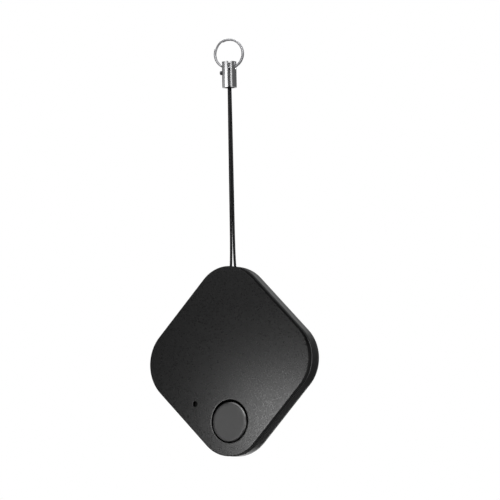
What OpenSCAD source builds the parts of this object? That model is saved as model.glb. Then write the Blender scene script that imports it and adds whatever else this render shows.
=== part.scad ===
// Bluetooth tracker tag: a rounded-square case that hangs by one corner on a short cord lanyard.
// Frame: +Z is up, the front face looks along -Y, and the origin is the centre of the split ring.

/* [Case] */
// Side of the square case, seen from the front
case_side = 38; // [37:0.5:46]
// Radius of the case's four corners, seen from the front
corner_r = 9.6; // [8.5:0.1:11]
// Radius of the rounded back edge
back_edge_r = 3.4; // [2.4:0.1:3.6]
// Thickness of the rear shell's side wall
wall = 1.2; // [1:0.05:1.4]
// Thickness of the rear shell's back
back_t = 1; // [0.8:0.05:1.4]
// Thickness of the front shell's face
front_t = 1.25; // [1:0.05:1.6]
// Rounding of the front shell's outer edge
front_edge_r = 0.3; // [0.1:0.05:0.4]
// Height of the upright band round the front shell's edge, with its rounding
front_band = 0.6; // [0.45:0.05:0.8]
// How far the front shell's side draws in from the band to the seam
front_undercut = 0.3; // [0.05:0.05:0.4]
// Height of the seam groove between the two shells
groove_h = 0.3; // [0.2:0.05:0.5]
// Depth of the seam groove
groove_d = 0.5; // [0.4:0.05:0.6]
// Rounding of the rear shell's rim at the groove
rim_edge_r = 0.3; // [0.1:0.05:0.35]
// Depth of the front shell's locating lip inside the rear shell
lip_h = 1; // [0.6:0.1:1.4]
// Thickness of the locating lip
lip_t = 0.8; // [0.6:0.05:1]
// Gap between the locating lip and the rear shell's wall
lip_gap = 0.1; // [0.05:0.01:0.2]

/* [Button and light] */
// Diameter of the button cap
button_d = 9.7; // [8.5:0.1:10.2]
// Gap round the button cap in its hole
button_gap = 0.45; // [0.2:0.05:0.5]
// Distance from the case's bottom tip to the button's axis
button_inset = 8.3; // [8:0.1:9]
// Travel of the button
button_travel = 0.3; // [0.2:0.05:0.35]
// How far the button cap stands proud of the face
button_proud = 0.2; // [0.05:0.05:0.3]
// Rounding of the button cap's edge
button_edge_r = 0.3; // [0.1:0.05:0.5]
// Chamfer round the button's hole
hole_chamfer = 0.05; // [0.05:0.05:0.3]
// How far the button's flange reaches under the face
flange_reach = 0.35; // [0.2:0.05:0.5]
// Thickness of the button's flange
flange_t = 0.5; // [0.3:0.05:0.6]
// Diameter of the button's stem
stem_d = 2.6; // [2:0.1:3.5]
// Diameter of the light hole
light_d = 1.2; // [0.9:0.1:2]
// Distance from the lower left side to the light hole's axis
light_inset = 5; // [4.5:0.1:5.5]
// Depth of the light pipe's end below the face
light_recess = 0.5; // [0.2:0.05:0.8]
// Width of the light pipe's shoulder
light_shoulder = 0.7; // [0.4:0.05:1]
// Thickness of the light pipe's shoulder
light_shoulder_t = 0.6; // [0.4:0.05:1]

/* [Battery] */
// Diameter of the coin cell
cell_d = 20; // [18:0.5:22]
// Thickness of the coin cell
cell_t = 3.2; // [2.5:0.1:3.6]
// Width of the coin cell's rim round its cap
cell_rim = 1.3; // [1.2:0.1:2.5]
// Thickness of the coin cell's sheet steel
can_t = 0.25; // [0.2:0.01:0.3]
// Thickness of the spring contact under the cell
contact_t = 0.2; // [0.15:0.05:0.3]
// Diameter of the spring contact
contact_d = 13; // [11:0.5:15]
// Thickness of the strap over the cell
strap_t = 0.2; // [0.15:0.05:0.3]
// Width of the strap over the cell
strap_w = 4; // [3:0.1:5]
// Length of the strap's soldered feet
strap_foot = 2.2; // [1.5:0.1:2.4]
// Free height between the strap and the front shell
headroom = 0.15; // [0.1:0.05:0.6]

/* [Circuit board] */
// Side of the rounded-square circuit board
board_side = 32.4; // [31:0.1:32.6]
// Corner radius of the circuit board
board_corner_r = 6.8; // [5.5:0.1:8]
// Thickness of the circuit board
board_t = 0.8; // [0.6:0.1:1]
// Height of the pads that carry the circuit board
pad_h = 0.2; // [0.2:0.05:0.6]
// Diameter of the board's locating posts
post_d = 1.2; // [1:0.1:1.5]
// Diameter of a post's pad and of its staked head
post_head_d = 2.2; // [1.8:0.1:2.6]
// Height of a post's staked head
post_head_h = 0.4; // [0.2:0.05:0.6]
// Side of the tact switch
switch_side = 4; // [3:0.1:4.5]
// Height of the tact switch, cover plate included
switch_h = 1.5; // [1.4:0.05:2]
// Diameter of the switch's plunger
plunger_d = 2; // [1.5:0.1:2.4]
// Diameter of the buzzer
buzzer_d = 8; // [7:0.1:8.6]
// Height of the buzzer
buzzer_h = 3; // [2:0.1:3.3]
// Side of the radio chip
chip_side = 4; // [3:0.1:4.5]
// Height of the radio chip
chip_h = 0.85; // [0.6:0.05:1.2]
// Width of the antenna's copper trace
trace_w = 0.35; // [0.25:0.05:0.45]

/* [Lanyard] */
// Drop from the split ring's centre to the bar that the cord loops round
lanyard_drop = 53.5; // [40:0.1:80]
// Diameter of the cord
cord_d = 0.6; // [0.4:0.05:0.65]
// Diameter of the bar
bar_d = 1.7; // [1.3:0.05:1.8]
// Length of the bar
bar_len = 5.6; // [5:0.1:6]
// Distance from the case's top tip down to the bar's axis
bar_inset = 1.8; // [1.7:0.05:2.2]
// Width of the slot that the cord goes into
slot_w = 3.2; // [2.4:0.1:3.6]
// Outer diameter of the split ring
ring_d = 7.45; // [7:0.05:9]
// Diameter of the split ring's wire
wire_d = 0.5; // [0.4:0.05:0.6]
// Turn of the split ring about the vertical, away from facing the front
ring_turn = 18; // [0:1:40]
// Outer diameter of the crimp tube
crimp_d = 3.5; // [3.2:0.05:4]
// Wall of the crimp tube
crimp_wall = 0.45; // [0.35:0.05:0.6]
// Length of the crimp tube
crimp_len = 6.3; // [6:0.1:9]
// Width of the crimp tube's lengthwise slit
slit_w = 0.45; // [0.3:0.05:0.7]
// Direction that the slit looks in, turned about the vertical from the front
slit_turn = 34; // [0:1:60]
// Diameter of the crimp's cross pin
pin_d = 0.5; // [0.4:0.05:0.6]
// Diameter of the cross pin's head
pin_head_d = 1; // [0.8:0.05:1.2]
// Height of the cross pin's head
pin_head_h = 0.55; // [0.3:0.05:0.7]

/* [Hidden] */
$fn = 64;

// Overshoot of a cut past the face that it opens
over = 1;
// Gap between two pieces that are pressed or bonded together
snug = 0.02;
// Running gap of a piece that slides or is dropped into place
slack = 0.05;

// Heights above the case's back, layer by layer
board_z = back_t + pad_h;
board_top = board_z + board_t;
cell_z = board_top + contact_t;
cell_top = cell_z + cell_t;
strap_top = cell_top + strap_t;
seam_z = strap_top + headroom;
case_t = seam_z + front_t;
rim_z = seam_z - groove_h;
// Radius of the cord's loop, and height of the bar, which keeps the loop just under the front shell
wrap_r = (bar_d + cord_d) / 2 + slack;
bar_h = seam_z - slack - wrap_r - cord_d / 2;

// Places on the case's face, measured from its centre
flat_half = case_side / 2 - corner_r;
tip = flat_half * sqrt(2) + corner_r;
bar_y = tip - bar_inset;
button_y = button_inset - tip;
light_reach = (case_side / 2 - light_inset) / sqrt(2);
light_at = [-light_reach, -light_reach];
flange_r = button_d / 2 + button_gap + flange_reach;
// Free room between the cell and the button's flange
cell_gap = 0.6;
cell_y = button_y + flange_r + cell_gap + cell_d / 2;

// Cord: heights of one strand's points, from its end in the crimp down to the bar that the case hangs on
bar_z = -lanyard_drop;
case_z = bar_z + bar_inset - tip;
cord_end_z = -5.1;
cord_exit_z = -9;
// Shares of the drop from the crimp to the bar, closer together where the strands open out round the bar
drop_shares = [0, 0.1, 0.2, 0.3, 0.4, 0.5, 0.6, 0.7, 0.8, 0.88, 0.93, 0.97, 1];
strand_levels = concat(
    [cord_end_z, (cord_end_z + cord_exit_z) / 2],
    [for (t = drop_shares) cord_exit_z + (bar_z - cord_exit_z) * t]
);
// Half of the strands' distance in the crimp
strand_half = cord_d / 2 + snug;
wrap_step = 22.5;
// Share of the strands' spread that comes just above the bar, and how late it comes
flare = 0.47;
flare_power = 24;
cord_sides = 8;

// Rear shell: inside corner, and the boss that carries the lanyard bar
inner_edge_r = back_edge_r - wall;
slot_room = 0.3;
slot_z = bar_h - wrap_r - cord_d / 2 - slot_room;
slot_y = bar_y - wrap_r - cord_d / 2 - slot_room;
boss_wall = 1;
boss_w = bar_len + 2 * boss_wall;
boss_y = slot_y - boss_wall;
boss_foot = slot_z - boss_wall;
boss_top = seam_z - headroom;
boss_skin = wall / 2;
// Front shell: how deep its lip and ribs are rooted in the face, and the ribs that keep the bar in its saddle
face_root = front_t / 2;
rib_play = 0.1;
rib_w = bar_d - 2 * rib_play;
rib_in = slot_w / 2 + rib_play;
rib_len = bar_len / 2 - rib_in;

// Board layout
board_tip = (board_side / 2 - board_corner_r) * sqrt(2) + board_corner_r;
board_room = 0.4;
board_limit = boss_y - board_room;
// Two posts, each at this distance inside the middle of one of the board's sides
post_inset = 1.6;
post_reach = (board_side / 2 - post_inset) / sqrt(2);
post_places = [[-post_reach, post_reach], [post_reach, -post_reach]];
part_room = 1;
buzzer_at = [cell_d / 2 + part_room + buzzer_d / 2, 0];
chip_at = [-(cell_d / 2 + part_room + chip_side / sqrt(2)), 2.6];
crystal_size = [2.5, 2, 0.7];
crystal_at = [chip_at[0] + 0.6, chip_at[1] - chip_side / sqrt(2) - crystal_size[0]];
led_size = [1.6, 0.8, 0.6];
led_top = board_top + led_size[2];
capacitor_size = [1, 0.5, 0.5];
resistor_size = [1, 0.5, 0.35];
row_step = 1.8;
capacitor_y = cell_y + cell_d / 2 + 1.6;
resistor_y = capacitor_y + row_step;
// Pitch of the antenna's folds, and their count
fold_pitch = 0.9;
fold_count = 6;
fold_len = 1.5;
trace_t = 0.05;

// Tact switch, measured up from the board: the plunger still stands out when it is pressed
plunger_out = 2 * button_travel;
switch_floor = 0.3;
cover_t = 0.15;
cavity_d = plunger_d + 1.2;
plunger_flange_d = plunger_d + 0.8;
plunger_flange_t = 0.3;
plunger_flange_top = switch_h - cover_t - slack;
dome_t = 0.08;
dome_top = plunger_flange_top - plunger_flange_t - slack;
plunger_top = board_top + switch_h + plunger_out;

// Split ring: two coils, a crossover between them, and the pivot in the crimp's walls
coil_gap = 0.04;
coil_pitch = wire_d + coil_gap;
ring_r = (ring_d - wire_d) / 2;
cross_arc = 40;
cross_at = 138;
ring_step = 8;
ring_sides = 10;
pivot_z = -sqrt(pow(ring_r, 2) - pow((crimp_d - crimp_wall) / 2, 2));
// The two coils turn about the pivot within this radius
coil_reach = sqrt(pow(coil_pitch / 2 + wire_d / 2, 2) + pow(wire_d * 0.8, 2));
eye_clear = 0.1;
eye_r = coil_reach + eye_clear;
eye_land = 0.45;
crimp_top = pivot_z + eye_r + eye_land;
crimp_bottom = crimp_top - crimp_len;
bore_r = crimp_d / 2 - crimp_wall;
coil_depth = sqrt(pow(ring_d / 2 + pivot_z, 2) + pow(coil_pitch / 2 + wire_d / 2, 2));
plug_top = pivot_z - coil_depth - eye_clear;
plug_sink = 0.2;
pin_cover = 0.3;
pin_z = plug_top - pin_cover - pin_d / 2;
pin_dome = 0.2;

// Puts a piece drawn lying on its back, with the face's centre line as z, into the hanging case
module on_case() {
    translate([0, bar_h, case_z]) rotate([90, 0, 0]) children();
}

// Turns a lanyard piece drawn facing the front to the split ring's direction
module on_ring() {
    rotate([0, 0, ring_turn]) children();
}

module rounded_square(side, r) {
    square([side, side - 2 * r], center = true);
    square([side - 2 * r, side], center = true);
    for (sx = [-1, 1], sy = [-1, 1]) {
        translate([sx, sy] * (side / 2 - r)) circle(r);
    }
}

// What a rounding of radius r takes off an outer corner, below (side -1) or above (side 1) the level
module corner_waste(reach, level, r, side) {
    difference() {
        translate([reach - r, side > 0 ? level - r : level - over]) square([r + over, r + over]);
        translate([reach - r, level - side * r]) circle(r);
    }
}

// Section from the axis out to reach, between two levels, with rounded outer corners
module edge_block(reach, low, high, low_r, high_r) {
    difference() {
        translate([0, low]) square([reach, high - low]);
        if (low_r > 0) corner_waste(reach, low, low_r, -1);
        if (high_r > 0) corner_waste(reach, high, high_r, 1);
    }
}

// Sweeps a section round the case: quarter turns at the corners and straight runs between them
module round_the_case() {
    for (k = [0:3]) {
        rotate(45 + 90 * k) translate([flat_half, flat_half, 0]) {
            rotate_extrude(angle = 90) children();
            rotate([90, 0, 0]) linear_extrude(2 * flat_half) children();
        }
    }
}

module case_centre(low, high) {
    rotate(45) translate([-flat_half, -flat_half, low]) cube([2 * flat_half, 2 * flat_half, high - low]);
}

// Tube along frames of [centre, side vector, second side vector], as one closed polyhedron
module swept_tube(frames, r, sides) {
    count = len(frames);
    points = [
        for (f = frames, k = [0:sides - 1])
            f[0] + r * (cos(360 * k / sides) * f[1] + sin(360 * k / sides) * f[2])
    ];
    skin = [
        for (i = [0:count - 2], k = [0:sides - 1], half = [0, 1])
            let (a = i * sides + k, b = i * sides + (k + 1) % sides)
            half == 0 ? [a, b, b + sides] : [a, b + sides, a + sides]
    ];
    first_end = [for (k = [1:sides - 2]) [0, k + 1, k]];
    last = (count - 1) * sides;
    last_end = [for (k = [1:sides - 2]) [last, last + k, last + k + 1]];
    polyhedron(points, concat(skin, first_end, last_end));
}

// Sideways place of a strand at height z: it spreads evenly from the crimp, and opens out just above the bar
function strand_place(z) =
    let (t = max(0, cord_exit_z - z) / (cord_exit_z - bar_z))
    strand_half + (wrap_r - strand_half) * ((1 - flare) * t + flare * pow(t, flare_power));
// Route of the cord, from one end in the crimp down, round the bar and up to the other end
cord_route = concat(
    [for (z = strand_levels) [0, -strand_place(z), z]],
    [for (a = [wrap_step:wrap_step:180 - wrap_step]) [0, -wrap_r * cos(a), bar_z - wrap_r * sin(a)]],
    [for (k = [len(strand_levels) - 1:-1:0]) [0, strand_place(strand_levels[k]), strand_levels[k]]]
);
function unit(v) = v / norm(v);
function route_step(i) = unit(cord_route[min(i + 1, len(cord_route) - 1)] - cord_route[max(i - 1, 0)]);
function ease(t) = t <= 0 ? 0 : t >= 1 ? 1 : t * t * (3 - 2 * t);
// Sideways place of the ring's wire after a turn of a degrees from its first end
function coil_place(a) = coil_pitch * (ease((a - 360 + cross_arc) / cross_arc) - 0.5);
function coil_frame(a) =
    let (t = cross_at + cross_arc / 2 + a, out = [cos(t), 0, sin(t)])
    [ring_r * out + [0, coil_place(a), 0], [0, 1, 0], out];

module split_ring() {
    frames = [for (a = [0:ring_step:720 - cross_arc]) coil_frame(a)];
    color("silver") on_ring() swept_tube(frames, wire_d / 2, ring_sides);
}

// A hole right across the crimp, along the split ring's pivot
module cross_hole(z, r) {
    on_ring() translate([-crimp_d, 0, z]) rotate([0, 90, 0]) cylinder(r = r, h = 2 * crimp_d);
}

module crimp_tube() {
    color("gainsboro") difference() {
        translate([0, 0, crimp_bottom]) cylinder(d = crimp_d, h = crimp_len);
        translate([0, 0, crimp_bottom - over]) cylinder(r = bore_r, h = crimp_len + 2 * over);
        rotate([0, 0, slit_turn]) translate([-slit_w / 2, -crimp_d, crimp_bottom - over])
            cube([slit_w, crimp_d, crimp_len + 2 * over]);
        cross_hole(pivot_z, eye_r);
        cross_hole(pin_z, pin_d / 2 + snug);
    }
}

module cord_plug() {
    low = crimp_bottom + plug_sink;
    hole_d = cord_d + 2 * snug;
    end_z = cord_end_z + snug;
    color("dimgray") difference() {
        translate([0, 0, low]) cylinder(r = bore_r - snug, h = plug_top - low);
        translate([0, 0, low - over]) {
            for (side = [-1, 1]) {
                translate([0, side * strand_half, 0]) cylinder(d = hole_d, h = end_z - low + over);
            }
            translate([-hole_d / 2, -strand_half, 0]) cube([hole_d, 2 * strand_half, end_z - low + over]);
        }
        cross_hole(pin_z, pin_d / 2 + snug);
    }
}

module crimp_pin() {
    color("darkslategray") on_ring() translate([-crimp_d / 2, 0, pin_z]) rotate([0, 90, 0]) {
        cylinder(d = pin_d, h = crimp_d - crimp_wall / 2);
        rotate([180, 0, 0]) rotate_extrude() edge_block(pin_head_d / 2, 0, pin_head_h, 0, pin_dome);
    }
}

module lanyard_cord() {
    frames = [
        for (i = [0:len(cord_route) - 1])
            [cord_route[i], [1, 0, 0], cross(route_step(i), [1, 0, 0])]
    ];
    color("black") swept_tube(frames, cord_d / 2, cord_sides);
}

module lanyard_bar() {
    color("silver") on_case() translate([-bar_len / 2, bar_y, bar_h]) rotate([0, 90, 0])
        cylinder(d = bar_d, h = bar_len);
}

module front_section() {
    polygon([
        [0, seam_z], [corner_r - front_undercut, seam_z],
        [corner_r, case_t - front_band], [0, case_t - front_band]
    ]);
    edge_block(corner_r, case_t - front_band, case_t, 0, front_edge_r);
}

// Locating lip, rooted in the face and left out at the lanyard's boss
module front_lip() {
    difference() {
        round_the_case() translate([corner_r - wall - lip_gap - lip_t, seam_z - lip_h])
            square([lip_t, lip_h + face_root]);
        translate([-boss_w / 2 - slot_room, boss_y - slot_room, seam_z - lip_h - over])
            cube([boss_w + 2 * slot_room, tip, lip_h + case_t]);
    }
}

module front_shell() {
    hole_r = button_d / 2 + button_gap;
    rib_foot = bar_h + bar_d / 2 + slack;
    color("black") on_case() {
        difference() {
            union() {
                round_the_case() front_section();
                case_centre(seam_z, case_t);
            }
            translate([0, button_y, seam_z - over]) cylinder(r = hole_r, h = front_t + 2 * over);
            translate([0, button_y, case_t - hole_chamfer])
                cylinder(r1 = hole_r, r2 = hole_r + hole_chamfer + over, h = hole_chamfer + over);
            translate([light_at[0], light_at[1], seam_z - over])
                cylinder(d = light_d, h = front_t + 2 * over);
        }
        front_lip();
        for (side = [-1, 1]) {
            translate([side * (rib_in + rib_len / 2) - rib_len / 2, bar_y - rib_w / 2, rib_foot])
                cube([rib_len, rib_w, seam_z + face_root - rib_foot]);
        }
    }
}

module rear_section() {
    difference() {
        union() {
            edge_block(corner_r, 0, rim_z, back_edge_r, rim_edge_r);
            translate([0, back_edge_r]) square([corner_r - groove_d, seam_z - back_edge_r]);
        }
        edge_block(corner_r - wall, back_t, seam_z + over, inner_edge_r, 0);
    }
}

module lanyard_boss() {
    intersection() {
        translate([-boss_w / 2, boss_y, boss_foot]) cube([boss_w, tip, boss_top - boss_foot]);
        linear_extrude(case_t) rotate(45) rounded_square(case_side - 2 * boss_skin, corner_r - boss_skin);
    }
}

module board_post() {
    translate([0, 0, back_t / 2]) cylinder(d = post_d, h = board_top + post_head_h - back_t / 2);
    translate([0, 0, back_t / 2]) cylinder(d = post_head_d, h = board_z - back_t / 2);
    translate([0, 0, board_top]) cylinder(d = post_head_d, h = post_head_h);
}

module rear_shell() {
    saddle_d = bar_d + 2 * snug;
    saddle_len = bar_len + 2 * slack;
    color("black") on_case() difference() {
        union() {
            round_the_case() rear_section();
            case_centre(0, back_t);
            lanyard_boss();
            for (p = post_places) translate(p) board_post();
        }
        translate([-slot_w / 2, slot_y, slot_z]) cube([slot_w, tip, case_t]);
        translate([-saddle_len / 2, bar_y, bar_h]) rotate([0, 90, 0]) cylinder(d = saddle_d, h = saddle_len);
        translate([-saddle_len / 2, bar_y - saddle_d / 2, bar_h]) cube([saddle_len, saddle_d, case_t]);
    }
}

module button_cap() {
    low = seam_z - slack - flange_t;
    color("dimgray") on_case() translate([0, button_y, 0]) rotate_extrude() {
        edge_block(button_d / 2, low, case_t + button_proud, 0, button_edge_r);
        translate([0, low]) square([flange_r, flange_t]);
        translate([0, plunger_top]) square([stem_d / 2, low - plunger_top]);
    }
}

module light_pipe() {
    low = led_top + slack;
    color("lightgray") on_case() translate(light_at) rotate_extrude() {
        translate([0, low]) square([light_d / 2 - slack, case_t - light_recess - low]);
        translate([0, seam_z - light_shoulder_t]) square([light_d / 2 + light_shoulder, light_shoulder_t]);
    }
}

module circuit_board() {
    color("darkgreen") on_case() translate([0, 0, board_z]) linear_extrude(board_t) difference() {
        intersection() {
            rotate(45) rounded_square(board_side, board_corner_r);
            translate([-board_side, board_limit - 2 * board_side]) square(2 * board_side);
        }
        for (p = post_places) translate(p) circle(d = post_d + 2 * slack);
    }
}

// One fold of the antenna: a cross run, and the link to the next fold at alternate ends
module antenna_fold(k) {
    translate([-trace_w / 2, 0]) square([trace_w, fold_len]);
    if (k < fold_count - 1) {
        translate([-trace_w / 2, k % 2 == 0 ? 0 : fold_len - trace_w])
            square([fold_pitch + trace_w, trace_w]);
    }
}

module antenna_trace() {
    color("goldenrod") on_case() translate([part_room - board_tip, 0, board_top]) linear_extrude(trace_t)
        rotate(-90) for (k = [0:fold_count - 1]) {
            translate([(k - (fold_count - 1) / 2) * fold_pitch, 0]) antenna_fold(k);
        }
}

// A box-shaped part on the board, square with the case's sides
module board_part(place, size) {
    translate([place[0], place[1], board_top + size[2] / 2]) rotate(45) cube(size, center = true);
}

module bluetooth_chip() {
    color("black") on_case() board_part(chip_at, [chip_side, chip_side, chip_h]);
}

module crystal_can() {
    color("silver") on_case() board_part(crystal_at, crystal_size);
}

module led_chip() {
    color("ivory") on_case() board_part(light_at, led_size);
}

module switch_base() {
    body_h = switch_h - cover_t;
    color("black") on_case() difference() {
        board_part([0, button_y], [switch_side, switch_side, body_h]);
        translate([0, button_y, board_top + switch_floor]) cylinder(d = cavity_d, h = body_h);
    }
}

module switch_cover() {
    color("silver") on_case() translate([0, button_y, board_top + switch_h - cover_t]) difference() {
        linear_extrude(cover_t) rotate(45) square(switch_side, center = true);
        translate([0, 0, -over]) cylinder(d = plunger_d + 2 * slack, h = cover_t + 2 * over);
    }
}

module switch_dome() {
    rim = cavity_d / 2 - slack;
    color("gainsboro") on_case() translate([0, button_y, board_top]) rotate_extrude()
        polygon([
            [0, dome_top - dome_t], [rim, switch_floor], [rim, switch_floor + dome_t], [0, dome_top]
        ]);
}

module switch_plunger() {
    color("white") on_case() translate([0, button_y, board_top]) {
        translate([0, 0, plunger_flange_top - plunger_flange_t])
            cylinder(d = plunger_flange_d, h = plunger_flange_t);
        translate([0, 0, plunger_flange_top])
            cylinder(d = plunger_d, h = switch_h + plunger_out - plunger_flange_top);
    }
}

module buzzer() {
    port_d = 1.6;
    port_depth = 0.8;
    edge_r = 0.3;
    color("black") on_case() translate(buzzer_at) rotate_extrude() difference() {
        edge_block(buzzer_d / 2, board_top, board_top + buzzer_h, 0, edge_r);
        translate([0, board_top + buzzer_h - port_depth]) square([port_d / 2, port_depth + over]);
    }
}

// A centred row of small parts across the board
module part_row(count, y, size) {
    for (k = [0:count - 1]) {
        translate([(k - (count - 1) / 2) * row_step, y, board_top + size[2] / 2])
            cube([size[1], size[0], size[2]], center = true);
    }
}

module chip_capacitors() {
    color("tan") on_case() part_row(6, capacitor_y, capacitor_size);
}

module chip_resistors() {
    color("black") on_case() part_row(4, resistor_y, resistor_size);
}

module battery_clip() {
    leg = cell_d / 2 + 6 * slack;
    color("silver") on_case() translate([0, cell_y, 0]) rotate(45) {
        translate([-leg - strap_t, -strap_w / 2, cell_top]) cube([2 * (leg + strap_t), strap_w, strap_t]);
        for (side = [-1, 1]) {
            translate([side * (leg + strap_t / 2), 0, 0]) {
                translate([-strap_t / 2, -strap_w / 2, board_top])
                    cube([strap_t, strap_w, strap_top - board_top]);
                translate([side * strap_foot / 2 - strap_foot / 2, -strap_w / 2, board_top])
                    cube([strap_foot, strap_w, strap_t]);
            }
        }
    }
}

module battery_contact() {
    rim = 2;
    arm_w = 1.6;
    hub_d = 4;
    color("gold") on_case() translate([0, cell_y, board_top]) linear_extrude(contact_t) {
        difference() {
            circle(d = contact_d);
            circle(d = contact_d - 2 * rim);
        }
        circle(d = hub_d);
        for (k = [0:2]) rotate(120 * k) translate([0, -arm_w / 2]) square([contact_d / 2 - rim / 2, arm_w]);
    }
}

// The coin cell lies with its cap towards the board
module on_cell() {
    on_case() translate([0, cell_y, cell_z]) children();
}

// Levels and radii inside the cell: its cap, the can's mouth, the seal's shelf and the can's bore
can_low = 0.1;
cap_r = cell_d / 2 - cell_rim;
mouth_r = cap_r + 0.4;
shelf_z = can_low + can_t + snug;
seal_top = shelf_z + 0.5;
can_bore_r = cell_d / 2 - can_t;
cap_t = can_t + 0.05;

module coin_cell_can() {
    can_edge_r = 0.5;
    color("silver") on_cell() rotate_extrude() difference() {
        edge_block(cell_d / 2, can_low, cell_t, can_t / 2, can_edge_r);
        edge_block(can_bore_r, can_low + can_t, cell_t - can_t, 0, can_edge_r - can_t);
        square([mouth_r, can_low + 2 * can_t]);
    }
}

module coin_cell_cap() {
    color("gainsboro") on_cell() rotate_extrude() edge_block(cap_r, 0, cap_t, can_t / 2, 0);
}

module coin_cell_seal() {
    color("black") on_cell() rotate_extrude() {
        translate([cap_r + snug, can_low])
            square([mouth_r - cap_r - 2 * snug, seal_top - can_low]);
        translate([cap_r + snug, shelf_z])
            square([can_bore_r - cap_r - 2 * snug, seal_top - shelf_z]);
    }
}

module coin_cell_core() {
    core_top = cell_t - can_t - snug;
    color("dimgray") on_cell() rotate_extrude() {
        translate([0, cap_t + snug]) square([cap_r - snug, core_top - cap_t - snug]);
        translate([0, seal_top + snug]) square([can_bore_r - can_t - snug, core_top - seal_top - snug]);
    }
}

split_ring();
crimp_tube();
cord_plug();
crimp_pin();
lanyard_cord();
lanyard_bar();
front_shell();
rear_shell();
button_cap();
light_pipe();
circuit_board();
antenna_trace();
bluetooth_chip();
crystal_can();
led_chip();
switch_base();
switch_cover();
switch_dome();
switch_plunger();
buzzer();
chip_capacitors();
chip_resistors();
battery_clip();
battery_contact();
coin_cell_can();
coin_cell_cap();
coin_cell_seal();
coin_cell_core();
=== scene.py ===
"""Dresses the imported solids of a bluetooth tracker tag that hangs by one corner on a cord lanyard."""

import logging
import math
from collections.abc import Iterable, Iterator, Sequence
from dataclasses import dataclass, field
from enum import Enum
from functools import cache
from itertools import accumulate

import bmesh
import bpy
from mathutils import Matrix, Vector


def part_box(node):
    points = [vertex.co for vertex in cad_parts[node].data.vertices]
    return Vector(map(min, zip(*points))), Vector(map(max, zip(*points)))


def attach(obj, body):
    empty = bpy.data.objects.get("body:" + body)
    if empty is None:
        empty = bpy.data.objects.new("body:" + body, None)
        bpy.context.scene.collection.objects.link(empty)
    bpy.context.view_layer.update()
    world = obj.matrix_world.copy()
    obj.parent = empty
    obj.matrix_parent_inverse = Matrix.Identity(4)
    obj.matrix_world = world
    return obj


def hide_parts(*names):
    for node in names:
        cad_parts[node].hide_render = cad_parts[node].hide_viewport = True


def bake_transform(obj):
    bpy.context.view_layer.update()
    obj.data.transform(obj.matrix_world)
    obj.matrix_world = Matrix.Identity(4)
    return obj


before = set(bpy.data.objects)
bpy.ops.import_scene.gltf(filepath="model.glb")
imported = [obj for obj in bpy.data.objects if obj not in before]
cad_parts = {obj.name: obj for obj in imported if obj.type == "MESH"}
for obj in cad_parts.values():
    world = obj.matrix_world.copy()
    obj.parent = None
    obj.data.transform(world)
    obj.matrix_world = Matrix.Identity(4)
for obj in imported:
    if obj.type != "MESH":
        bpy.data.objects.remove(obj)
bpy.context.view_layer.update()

LOG = logging.getLogger("tracker_tag")
MM = 0.001
MICRON = 1e-6
QUARTER = math.pi / 2
EIGHTH = math.pi / 4
SAME_PLACE = 1e-4 * MM
SAME_HEIGHT = 1e-3 * MM
SMOOTH_UP_TO = 35.0
SHARP_FROM = 40.0
CLOUDY = 3.0
NOISE_MIDDLE = (0.3, 0.7)
UNMOVED = Matrix.Identity(4)

Point = tuple[float, float]
Triple = tuple[float, float, float]
BMEdge = bmesh.types.BMEdge
BMVert = bmesh.types.BMVert
Material = bpy.types.Material
Node = bpy.types.Node
Piece = bpy.types.Object
Socket = bpy.types.NodeSocket


class Body(Enum):
    """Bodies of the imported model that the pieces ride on."""

    RING = "ring"
    LANYARD = "lanyard"
    CASE = "case"
    COVER = "front_cover"
    BUTTON = "button"
    PLUNGER = "plunger"


class Reach(Enum):
    """What a panel's light shows in: first matt light, then reflections."""

    GLINT = (False, True)
    FILL = (True, False)


def arc(centre: Point, radius: float, start: float, end: float, count: int) -> list[Point]:
    """Points of an arc in a profile, in count steps from one angle to the other, in degrees."""
    angles = [math.radians(start + (end - start) * k / count) for k in range(count + 1)]
    return [(centre[0] + radius * math.cos(a), centre[1] + radius * math.sin(a)) for a in angles]


def lighter(colour: Triple, share: float) -> Triple:
    """The colour, lighter by a share of itself."""
    return tuple(min(1.0, c * (1 + share)) for c in colour)


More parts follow.
